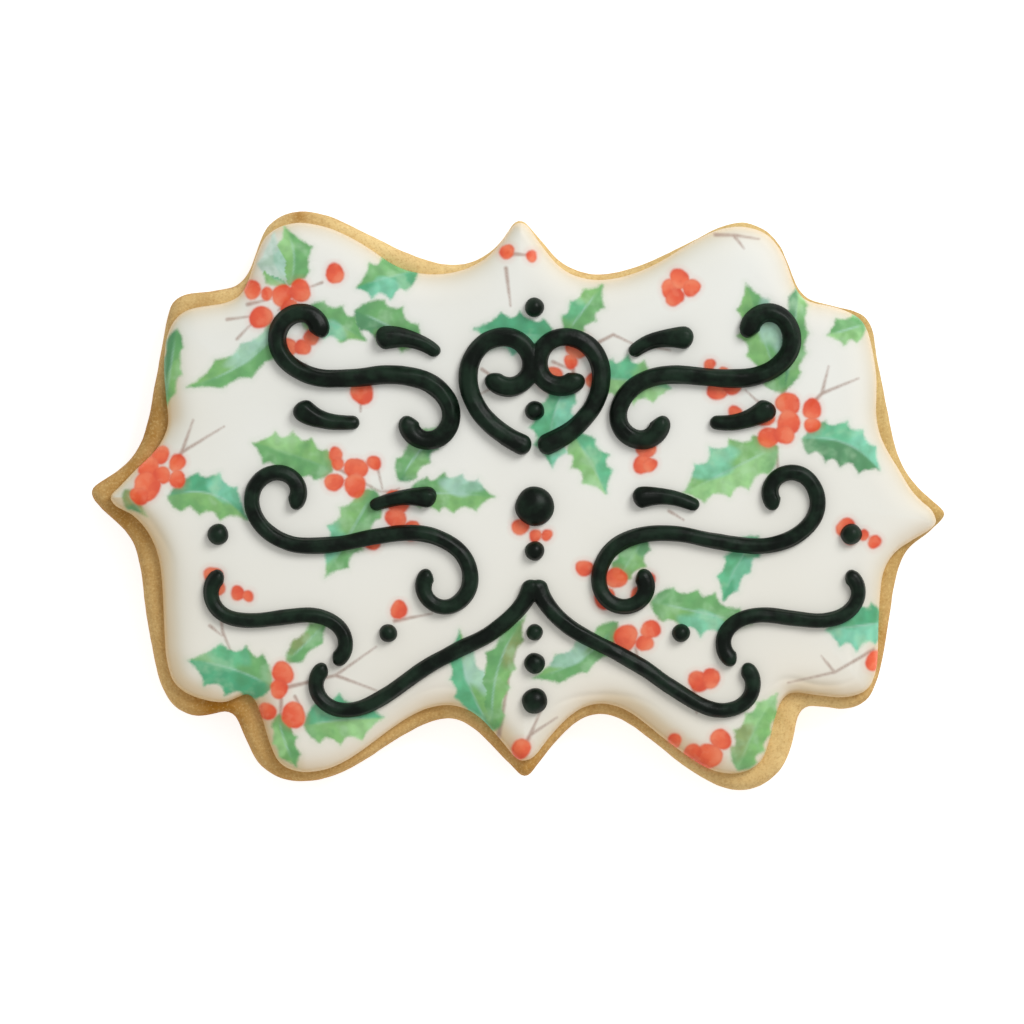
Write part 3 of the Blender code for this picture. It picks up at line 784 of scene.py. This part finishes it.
def icing_material():
    s = Shader("printed royal icing")
    where = s.position()
    ragged = s.noise(where, 1000.0, 4.0, 0.65)
    wobble = s.maths("MULTIPLY", s.maths("SUBTRACT", ragged, 0.5), 0.7)
    wash = s.noise(where, 360.0, 2.5, 0.5)
    dab = s.noise(where, 800.0, 1.5, 0.5)
    broad = s.noise(where, 45.0, 2.0)

    colour = s.mix(s.ramp(broad, 0.3, 0.75), srgb(245, 246, 240), srgb(241, 241, 233))
    # Painted shade: the icing is warmer and slightly darker towards the bottom.
    colour = s.mix(s.ramp(s.split(where)[1], 0.03, -0.04, 0.0, 0.6), colour, srgb(243, 237, 222))
    # Painted shade at the icing's edge: a cool grey, and a warm tan that is partly butter soaked into the
    # edge and partly painted shade.
    colour = s.mix(s.attribute("painted_cool_shade"), colour, srgb(196, 204, 192))
    colour = s.mix(s.attribute("butter_and_painted_shade"), colour, srgb(222, 190, 138))

    twig = s.maths("ADD", s.attribute("twig_edge"), s.maths("MULTIPLY", wobble, 0.3))
    colour = s.mix(s.ramp(twig, -0.30, 0.22, 0.0, 0.85), colour, TWIG_COLOUR)

    leaf = s.maths("ADD", s.attribute("leaf_edge"), wobble)
    paint = s.attribute("leaf_paint", "Color")
    paint = s.mix(s.ramp(wash, 0.48, 0.70, 0.0, 0.40), paint, srgb(182, 226, 180))
    paint = s.mix(s.ramp(wash, 0.50, 0.30, 0.0, 0.35), paint, srgb(66, 148, 84))
    paint = s.mix(s.ramp(dab, 0.52, 0.34, 0.0, 0.12), paint, srgb(60, 130, 74))
    cover = s.ramp(leaf, -0.36, 0.22, 0.0, 0.95)
    colour = s.mix(s.ramp(leaf, -1.1, -0.1, 0.0, 0.08), colour, paint)
    colour = s.mix(cover, colour, paint)

    berry = s.maths("ADD", s.attribute("berry_edge"), s.maths("MULTIPLY", wobble, 0.4))
    paint = s.attribute("berry_paint", "Color")
    paint = s.mix(s.ramp(dab, 0.50, 0.68, 0.0, 0.25), paint, srgb(252, 150, 112))
    paint = s.mix(s.ramp(dab, 0.48, 0.32, 0.0, 0.30), paint, srgb(222, 60, 28))
    colour = s.mix(s.ramp(berry, -1.0, -0.1, 0.0, 0.12), colour, paint)
    colour = s.mix(s.ramp(berry, -0.26, 0.18, 0.0, 0.95), colour, paint)

    s.set(s.surface.inputs["Base Color"], colour)
    s.surface.inputs["Roughness"].default_value = 0.45
    s.surface.inputs["Specular IOR Level"].default_value = 0.3
    fine = s.noise(where, 2600.0, 2.0)
    relief = s.maths("ADD", s.maths("MULTIPLY", fine, 0.25), s.noise(where, 300.0, 2.0))
    s.set(s.surface.inputs["Normal"], s.bump(relief, 0.00003, 0.5))
    return s.material


def icing_sheet():
    """The plan's triangles of the icing's top, fine inside the print and at the edge."""
    interior = []
    for spacing, wanted in ((COARSE, False), (FINE, True)):
        points, depth = ICING.fill(spacing, 0.2)
        leaf, _, berry, _, twig = print_layers(points)
        printed = np.maximum(np.maximum(leaf, berry), twig) > -0.55
        printed |= depth < 3.0
        interior.append(points[printed == wanted])
    return triangulate(ICING.points, np.concatenate(interior))


def icing_height(points, depth):
    """Height of the icing's surface above plan points this far in from its edge."""
    under = biscuit_height(np.maximum(BISCUIT.depth(points), 0))
    pooled = pooled_distance(points, ICING.points, depth)
    t = np.clip(pooled / ICING_ROLL, 0, 1)
    rise = np.sqrt(1 - (1 - t) ** 2)
    full = ICING_TOP - BISCUIT_TOP - ICING_WIDEST
    wave = fractal(points, 14.0, 3.1) * 0.05 * smoothstep(depth, 0.5, 5.0)
    height = under + ICING_WIDEST + full * rise + np.minimum(wave, 0.0)
    for x, y, reach, set_in, sunk in CREASES:
        near = np.exp(-((points[:, 0] - x) ** 2 + (points[:, 1] - y) ** 2) / reach ** 2)
        wander = 0.5 * np.sin(points[:, 0] / 2.3) + 0.3 * np.sin(points[:, 1] / 1.7)
        height -= sunk * near * np.exp(-((depth - set_in - wander) / 0.4) ** 2)
    return height


def icing_under(points):
    """Height of the icing's lower surface, just in the biscuit's."""
    return biscuit_height(np.maximum(BISCUIT.depth(points), 0)) - ICING_SINK


def build_icing():
    edge = ICING.points
    plan, triangles = icing_sheet()
    depth = np.maximum(ICING.depth(plan), 0)
    top = with_height(plan, icing_height(plan, depth))
    foot = inset(edge, ICING_FOOT)
    rings = []
    for t in (0.2, 0.4, 0.6, 0.8):
        angle = t * math.pi / 2
        ring = inset(edge, ICING_FOOT * (1 - math.sin(angle)))
        rise = (ICING_WIDEST + ICING_SINK) * (1 - math.cos(angle))
        rings.append(with_height(ring, icing_under(ring) + rise))
    low = ICING.fill(ICING_LOW_SPACING, ICING_LOW_MARGIN)[0]
    low_plan, low_faces = triangulate(foot, low)
    low_points = with_height(low_plan, icing_under(low_plan))
    verts, faces = shell((low_points, low_faces), rings, (top, triangles))

    piece = make_piece("icing_flooded", verts, faces, icing_material())
    plan = verts[:, :2]
    names = ("leaf_edge", "leaf_paint", "berry_edge", "berry_paint", "twig_edge")
    for name, values in zip(names, print_layers(plan)):
        if values.ndim == 1:
            give_attribute(piece.data, name, values)
        else:
            colour = np.hstack((values, np.ones((len(values), 1))))
            give_attribute(piece.data, name, colour, "FLOAT_COLOR")
    # The icing edge's painted shade, partly butter, as attributes.
    for name, values in zip(("butter_and_painted_shade", "painted_cool_shade"), edge_butter_and_painted_shade(plan)):
        give_attribute(piece.data, name, values)
    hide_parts("icing")


def edge_butter_and_painted_shade(plan):
    """Two tints of the icing's edge. The warm tan is partly the biscuit's butter soaking into the thin
    edge and partly painted shade, most at its lower edge and on the edge facing the lamp. The cool grey
    is painted shade on the edges facing left and towards the left side.
    """
    depth = np.maximum(ICING.depth(plan), 0)
    out = -ICING.into[ICING.nearest(plan)]

    def facing(degrees, start, full):
        """1 where the edge faces this way in plan, falling to 0 as it turns away."""
        way = math.radians(degrees)
        return smoothstep(out @ np.array((math.cos(way), math.sin(way))), start, full)

    def near_edge(reach, middle=0.0):
        return np.exp(-((depth - middle) / reach) ** 2)

    low = facing(236, -0.5, 1.0)
    lit = facing(50, -0.3, 0.6)
    # Painted shade: a band just in from the lower-left edge, and a narrow one at the edge facing the
    # upper left.
    shade = facing(222, 0.55, 1.0) * near_edge(1.1, 1.3)
    corner = facing(150, 0.6, 1.0) * near_edge(0.7)
    # The thin tan line all round is partly butter and partly painted shade. The rest of the tan is
    # painted shade: wide on the lower-left edges, away from the lamp, and on the edge facing the lamp to
    # darken it.
    butter_and_painted_shade = 0.55 * (1 - 0.5 * lit) * near_edge(0.35)
    butter_and_painted_shade += low * (0.50 * near_edge(1.6) + 0.15 * near_edge(5.0))
    butter_and_painted_shade += lit * (0.30 * near_edge(1.3) + 0.13 * near_edge(3.2)) + 0.20 * shade + 0.15 * corner
    # The cool grey is all painted shade: on the edges facing left, faintly towards the left side, and on
    # the lamp-facing, shaded and corner edges.
    painted_cool_shade = 0.30 * facing(166, 0.1, 1.0) * near_edge(3.0) + 0.05 * smoothstep(-plan[:, 0], 10.0, 50.0)
    painted_cool_shade += 0.35 * lit * near_edge(1.5) + 0.30 * shade + 0.30 * corner
    return np.clip(butter_and_painted_shade, 0, 1), np.clip(painted_cool_shade, 0, 1)


# ---------------------------------------------------------------- piping

def stroke_path(x, y, heading, where, length, bends):
    """A fine path whose curvature changes evenly between its bends."""
    steps = math.ceil(length / 0.1)
    travelled = np.linspace(0, length, steps + 1)
    curvature = np.interp(travelled / length, np.linspace(0, 1, len(bends)), bends)
    turned = (curvature[1:] + curvature[:-1]) / 2 * (length / steps)
    headings = np.concatenate(([0.0], np.cumsum(turned)))
    headings = np.radians(headings + heading - np.interp(where * length, travelled, headings))
    middles = (headings[1:] + headings[:-1]) / 2
    moves = np.stack((np.cos(middles), np.sin(middles)), axis=1) * (length / steps)
    path = np.concatenate((np.zeros((1, 2)), np.cumsum(moves, axis=0)))
    anchor = [np.interp(where * length, travelled, path[:, axis]) for axis in (0, 1)]
    return travelled, path - anchor + (x, y), headings


def piping_material():
    s = Shader("dark green royal icing")
    where = s.position()
    patch = s.noise(where, 420.0, 3.0)
    fine = s.noise(where, 1500.0, 3.0, 0.6)
    colour = s.mix(s.ramp(patch, 0.35, 0.7), srgb(2, 12, 4), srgb(22, 42, 28))
    s.set(s.surface.inputs["Base Color"], colour)
    s.set(s.surface.inputs["Roughness"], s.ramp(patch, 0.3, 0.7, 0.36, 0.48))
    s.surface.inputs["Specular IOR Level"].default_value = 0.18
    relief = s.maths("ADD", s.maths("MULTIPLY", fine, 0.35), patch)
    s.set(s.surface.inputs["Normal"], s.bump(relief, 0.00012, 0.7))
    return s.material


def uneven(direction, travelled, seed):
    """How far a piped surface stands in or out: long faint ridges and small ripples."""
    x, z = direction
    ridges = noise.noise(Vector((1.8 * x, 1.8 * z, travelled / 6.0 + seed)))
    ripples = noise.noise(Vector((2.5 * x, 2.5 * z, travelled / 1.6 + seed)))
    return 0.09 * ridges + 0.035 * ripples


def build_stroke(name, stroke, side, material, seed):
    """A piped line with round ends, slightly uneven, sunk into the icing."""
    x, y, heading, where, length, widths, bends = stroke
    travelled, path, headings = stroke_path(x, y, heading, where, length, bends)
    reach = [TIP_REACH * w / 2 for w in widths]
    body = np.arange(reach[0], length - reach[1], LINE_STEP)
    stations = np.concatenate(([t * widths[0] / 2 for t in TIPS], body,
                               [length - t * widths[1] / 2 for t in reversed(TIPS)]))
    around = LINE_AROUND
    angles = -PIPING_TUCK + (math.pi + 2 * PIPING_TUCK) * np.arange(around) / (around - 1)
    verts = []
    for station in stations:
        centre = np.array([np.interp(station, travelled, path[:, axis]) for axis in (0, 1)])
        direction = np.interp(station, travelled, headings)
        width = np.interp(station, (0, length), widths)
        inner = min(station, length - station)
        radius = width / 2
        tip = math.sqrt(max(0.0, 1 - (1 - min(inner / radius, 1)) ** 2))
        bulb = 1 + 0.12 * math.exp(-((inner - radius) / width) ** 2)
        wander = 0.05 * noise.noise(Vector((station / 5.0, seed, 0)))
        scale = tip * bulb * (1 + wander)
        across = np.array((-math.sin(direction), math.cos(direction)))
        centre = centre + across * 0.1 * noise.noise(Vector((station / 4.0, seed, 9)))
        half_height = (width * PIPING_HEIGHT + PIPING_SINK) / (1 + math.sin(PIPING_TUCK))
        for angle in angles:
            shape = scale * (1 + uneven((math.cos(angle), math.sin(angle)), station, seed))
            px, py = centre + across * (radius * shape * math.cos(angle))
            pz = shape * scale ** -0.5 * half_height * (math.sin(angle) + math.sin(PIPING_TUCK))
            verts.append((MIRROR_LINE + side * px, py, PIPING_BASE + pz))
    faces = []
    rows = len(stations)
    for r in range(rows - 1):
        for i in range(around):
            j = (i + 1) % around
            a, b = r * around, (r + 1) * around
            faces.append((a + i, a + j, b + j, b + i)[::-side])
    faces.append(tuple(range(around))[::side])
    faces.append(tuple(range((rows - 1) * around, rows * around))[::-side])
    return make_piece(name, verts, faces, material)


def run_together(right, left, node):
    """Joins two piped lines into one, softening the crease where they meet."""
    union = right.modifiers.new("Run together", "BOOLEAN")
    union.operation = "UNION"
    union.solver = "EXACT"
    union.object = left
    remesh = right.modifiers.new("Even mesh", "REMESH")
    remesh.mode = "VOXEL"
    remesh.voxel_size = JOINED_MESH * MM
    smooth = right.modifiers.new("Soften", "SMOOTH")
    smooth.factor = 0.5
    smooth.iterations = 6
    joined = bpy.data.meshes.new_from_object(
        right.evaluated_get(bpy.context.evaluated_depsgraph_get()))
    joined.shade_smooth()
    right.modifiers.clear()
    right.data = joined
    bpy.data.objects.remove(left)
    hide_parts(node)


def build_dot(node, material, seed):
    """A piped dot over its CAD solid, slightly out of round."""
    low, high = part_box(node)
    centre = (low + high) / 2 / MM
    radius = (high.x - low.x) / 2 / MM
    height = (high.z - low.z) / MM + PIPING_SINK
    around, rows = 48, 18
    verts = []
    for r in range(rows):
        angle = -DOT_TUCK + (math.pi / 2 + DOT_TUCK) * r / rows
        for i in range(around):
            turn = 2 * math.pi * i / around
            spread = 0.06 * noise.noise(Vector((math.cos(turn), math.sin(turn), seed + 0.4 * angle)))
            reach = radius * math.cos(angle) * (1 + spread)
            z = height * (math.sin(angle) + math.sin(DOT_TUCK)) / (1 + math.sin(DOT_TUCK))
            verts.append((centre.x + reach * math.cos(turn), centre.y + reach * math.sin(turn),
                          PIPING_BASE + z))
    verts.append((centre.x, centre.y, PIPING_BASE + height))
    faces = [tuple(reversed(range(around)))]
    for r in range(rows - 1):
        for i in range(around):
            j = (i + 1) % around
            faces.append((r * around + i, r * around + j, (r + 1) * around + j, (r + 1) * around + i))
    last = (rows - 1) * around
    for i in range(around):
        faces.append((last + i, last + (i + 1) % around, len(verts) - 1))
    piece = make_piece(f"piped_{node}", verts, faces, material)
    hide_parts(node)


def build_piping():
    material = piping_material()
    seed = 0.0
    for node, stroke in (("scroll_heart", HEART), ("scroll_legs", LEG)):
        halves = []
        for side in (1, -1):
            seed += SEED_STEP
            halves.append(build_stroke(f"piped_{node}", stroke, side, material, seed))
        run_together(*halves, node)
    for node, stroke in PAIRS.items():
        for side, word in ((1, "right"), (-1, "left")):
            seed += SEED_STEP
            piece = build_stroke(f"piped_{node}_{word}", stroke, side, material, seed)
            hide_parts(f"{node}_{word}")
    for node in DOT_NODES:
        seed += SEED_STEP
        build_dot(node, material, seed)


# ---------------------------------------------------------------- stage, light and camera

FLOOR_GAP = 0.05  # keeps the floor and the underside from sharing a plane
FLOOR_HALF = 2.0  # metres
FLOOR_GREY = 0.68
FLOOR_GLOW = 0.72  # with the light on it, the floor comes out white
SKY = 0.55
LIGHT_PLACE = (0.45, 0.50, 0.62)  # metres
LIGHT_SIZE = 0.45
LIGHT_POWER = 4.6
LENS = 200.0
SENSOR = 36.0
FRAME_WIDTH = 0.1367  # metres across the picture, at the biscuit's widest
FRAME_MIDDLE = (-0.0008, -0.00154)


def build_stage():
    half = FLOOR_HALF
    mesh = bpy.data.meshes.new("floor")
    mesh.from_pydata([(-half, -half, 0), (half, -half, 0), (half, half, 0), (-half, half, 0)],
                     [], [(0, 1, 2, 3)])
    floor = bpy.data.objects.new("floor", mesh)
    floor.location.z = -FLOOR_GAP * MM
    bpy.context.collection.objects.link(floor)
    s = Shader("pale floor")
    s.surface.inputs["Base Color"].default_value = (FLOOR_GREY, FLOOR_GREY, FLOOR_GREY, 1)
    s.surface.inputs["Roughness"].default_value = 0.9
    s.surface.inputs["Specular IOR Level"].default_value = 0.1
    s.surface.inputs["Emission Color"].default_value = (1, 1, 1, 1)
    s.surface.inputs["Emission Strength"].default_value = FLOOR_GLOW
    floor.data.materials.append(s.material)


def build_lights():
    world = bpy.data.worlds.new("studio")
    world.use_nodes = True
    background = world.node_tree.nodes["Background"]
    background.inputs[0].default_value = (1, 1, 1, 1)
    background.inputs[1].default_value = SKY
    bpy.context.scene.world = world

    light = bpy.data.lights.new("key", "AREA")
    light.shape = "DISK"
    light.size = LIGHT_SIZE
    light.energy = LIGHT_POWER
    lamp = bpy.data.objects.new("key", light)
    lamp.location = LIGHT_PLACE
    lamp.rotation_euler = (-Vector(LIGHT_PLACE)).to_track_quat("-Z", "Y").to_euler()
    bpy.context.collection.objects.link(lamp)


def build_camera():
    """A long lens straight above the biscuit."""
    camera = bpy.data.cameras.new("camera")
    camera.lens = LENS
    camera.sensor_width = SENSOR
    camera.clip_end = 10.0
    distance = FRAME_WIDTH * LENS / SENSOR
    view = bpy.data.objects.new("camera", camera)
    view.location = (*FRAME_MIDDLE, BISCUIT_WIDEST * MM + distance)
    bpy.context.collection.objects.link(view)
    bpy.context.scene.camera = view
    bpy.context.scene.view_settings.view_transform = "Standard"


build_camera()
build_lights()
build_stage()
build_biscuit()
build_icing()
build_piping()
